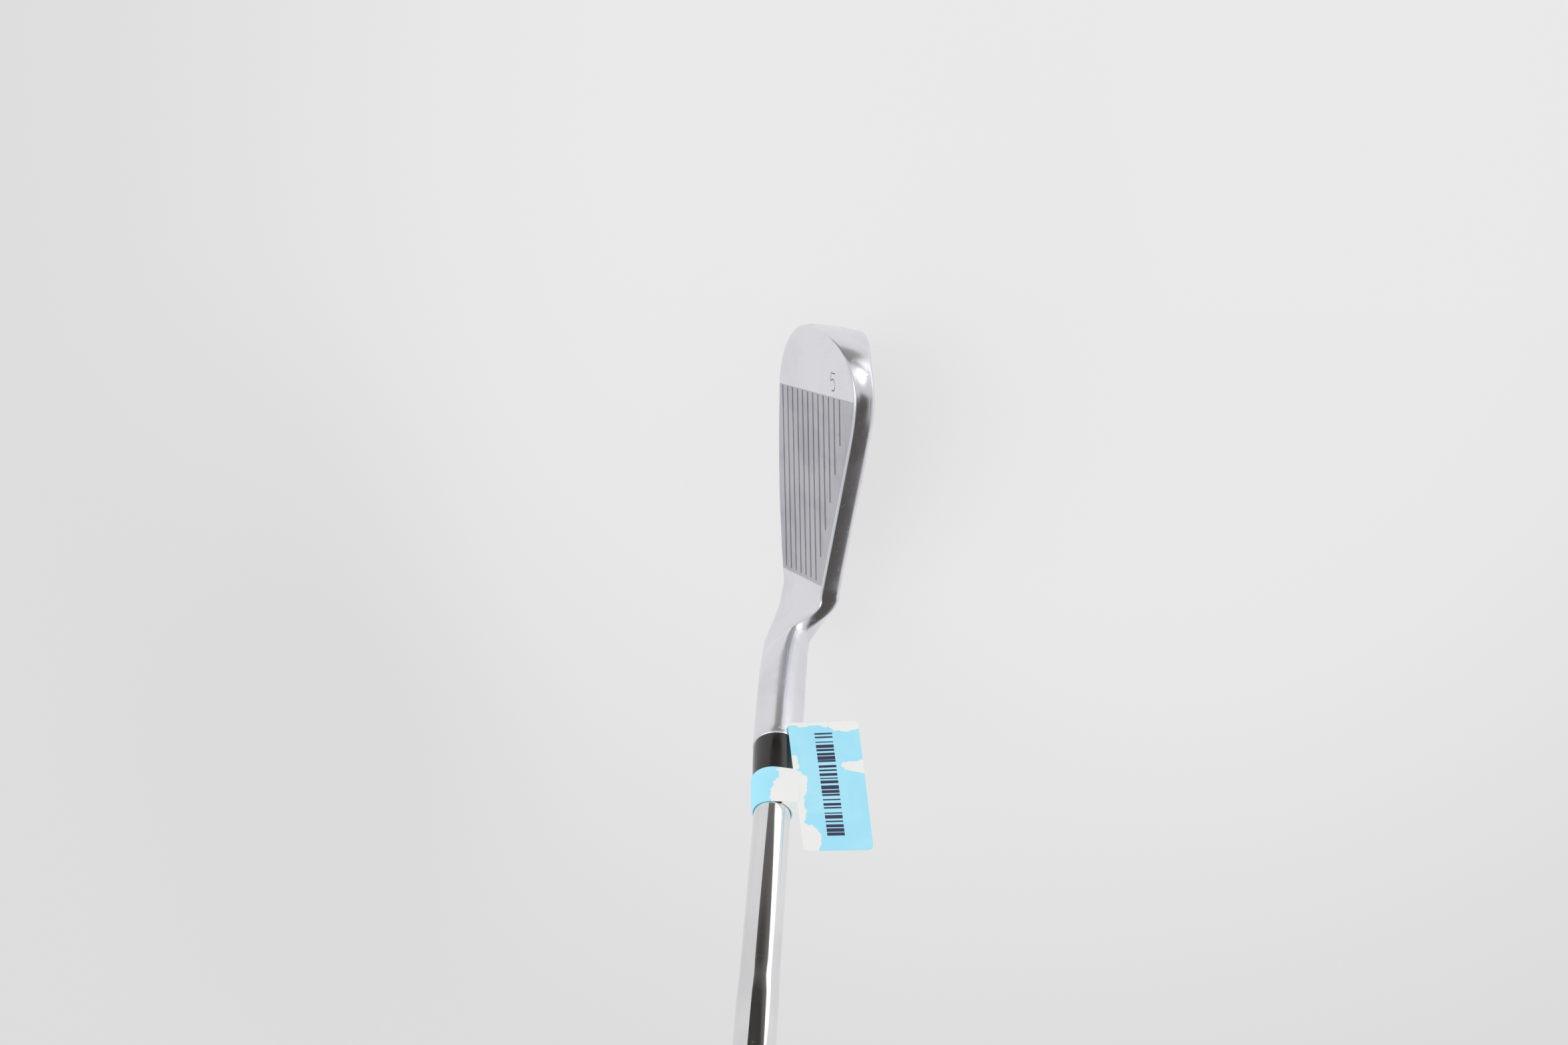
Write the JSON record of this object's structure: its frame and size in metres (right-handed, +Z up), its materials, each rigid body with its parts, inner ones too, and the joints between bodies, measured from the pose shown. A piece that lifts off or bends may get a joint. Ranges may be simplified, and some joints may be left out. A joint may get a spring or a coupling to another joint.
{
  "type": "iron golf club",
  "caption": "Right-handed cavity-back iron: grooved steel head with hosel, black ferrule with a paper flag tag, stepped chromed shaft, rubber grip.",
  "frame": {"origin": "the point on the sole, under the middle of the face, that the club rests on at address", "axes": "+Z up, -X towards the toe and +X towards the heel and shaft, -Y the way the face looks"},
  "size_m": [0.552, 0.0422, 0.8511],
  "materials": {
    "head_steel": "polished toe and hosel, fine blasted groove zone",
    "badge_metal": "dark anodised, brushed",
    "badge_tape": "foam tape",
    "epoxy": "cured amber glue",
    "brass_pin": "turned",
    "ferrule_plastic": "polished black",
    "shaft_chrome": "mirror chrome with step marks",
    "foil": "plain satin foil",
    "paper_tape": "masking tape",
    "grip_rubber": "moulded rubber with a fine texture",
    "cap_rubber": "smooth moulded rubber",
    "label_paper": null
  },
  "bodies": {
    "root": {"club_head": "head_steel", "cavity_badge": "badge_metal", "badge_adhesive": "badge_tape", "hosel_epoxy": "epoxy", "tip_weight": "brass_pin", "ferrule": "ferrule_plastic", "shaft": "shaft_chrome", "shaft_band": "foil", "grip_tape": "paper_tape", "grip": "grip_rubber", "grip_cap": "cap_rubber", "flag_label": "label_paper"}
  },
  "joints": []
}
